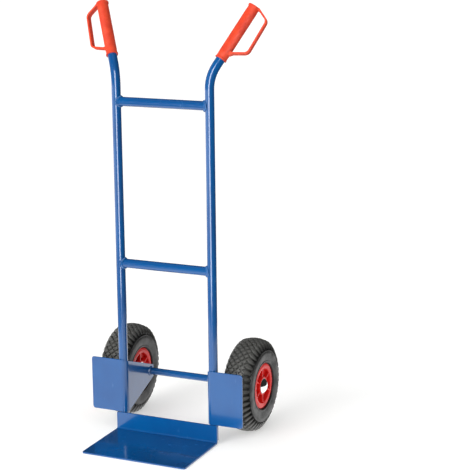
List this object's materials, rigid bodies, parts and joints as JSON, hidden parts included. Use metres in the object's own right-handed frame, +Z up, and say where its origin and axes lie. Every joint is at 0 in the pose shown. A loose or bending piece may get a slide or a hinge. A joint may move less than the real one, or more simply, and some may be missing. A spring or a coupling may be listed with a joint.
{
  "type": "hand truck",
  "caption": "Upright hand truck with a welded tube frame, L-shaped toe plate, guarded solid-tyred wheels on ball bearings and bent-back handles with knuckle guards.",
  "frame": {"origin": "middle of the footprint, on the floor", "axes": "+X across the truck to the right seen from the toe plate, +Y from the toe plate towards the wheels, +Z up"},
  "size_m": [0.5296, 0.479, 1.1835],
  "materials": {
    "blue_paint": "gloss powder coat",
    "grip_plastic": "fine grained moulded plastic",
    "rim_plastic": "satin moulded plastic",
    "tyre_foam": "moulded cellular polyurethane",
    "zinc": "bright zinc plating",
    "cap_chrome": "polished",
    "bearing_steel": "ground"
  },
  "bodies": {
    "frame": {"left_upright": "blue_paint", "right_upright": "blue_paint", "middle_crossbar": "blue_paint", "top_crossbar": "blue_paint", "toe_plate": "blue_paint", "axle": "blue_paint", "crossbar_welds": "blue_paint", "toe_plate_welds": "blue_paint", "bracket_welds": "blue_paint", "axle_welds": "blue_paint", "left_wheel_bracket": "blue_paint", "right_wheel_bracket": "blue_paint", "left_grip": "grip_plastic", "right_grip": "grip_plastic", "left_axle_spacer": "zinc", "right_axle_spacer": "zinc", "left_axle_washer": "zinc", "right_axle_washer": "zinc", "left_bearing_spacer": "zinc", "right_bearing_spacer": "zinc", "left_axle_cap": "cap_chrome", "right_axle_cap": "cap_chrome", "left_bearing_inner_rings": "bearing_steel", "right_bearing_inner_rings": "bearing_steel"},
    "left_wheel": {"left_tyre": "tyre_foam", "left_rim": "rim_plastic", "left_bearing_outer_rings": "bearing_steel", "left_bearing_shields": "bearing_steel"},
    "left_ball_train": {"left_bearing_balls": "bearing_steel", "left_bearing_cages": "bearing_steel"},
    "right_wheel": {"right_tyre": "tyre_foam", "right_rim": "rim_plastic", "right_bearing_outer_rings": "bearing_steel", "right_bearing_shields": "bearing_steel"},
    "right_ball_train": {"right_bearing_balls": "bearing_steel", "right_bearing_cages": "bearing_steel"}
  },
  "joints": [
    {"name": "left_wheel_spin", "type": "hinge", "parent": "frame", "child": "left_wheel", "pos_m": [-0.1904, 0.10955, 0.13], "axis": [1, 0, 0], "continuous": true},
    {"name": "left_ball_train_spin", "type": "hinge", "parent": "frame", "child": "left_ball_train", "pos_m": [-0.1904, 0.10955, 0.13], "axis": [1, 0, 0], "continuous": true},
    {"name": "right_wheel_spin", "type": "hinge", "parent": "frame", "child": "right_wheel", "pos_m": [0.1904, 0.10955, 0.13], "axis": [1, 0, 0], "continuous": true},
    {"name": "right_ball_train_spin", "type": "hinge", "parent": "frame", "child": "right_ball_train", "pos_m": [0.1904, 0.10955, 0.13], "axis": [1, 0, 0], "continuous": true}
  ],
  "couplings": [
    {"joint": "left_ball_train_spin", "follows": "left_wheel_spin", "ratio": 0.6024},
    {"joint": "right_ball_train_spin", "follows": "right_wheel_spin", "ratio": 0.6024}
  ]
}
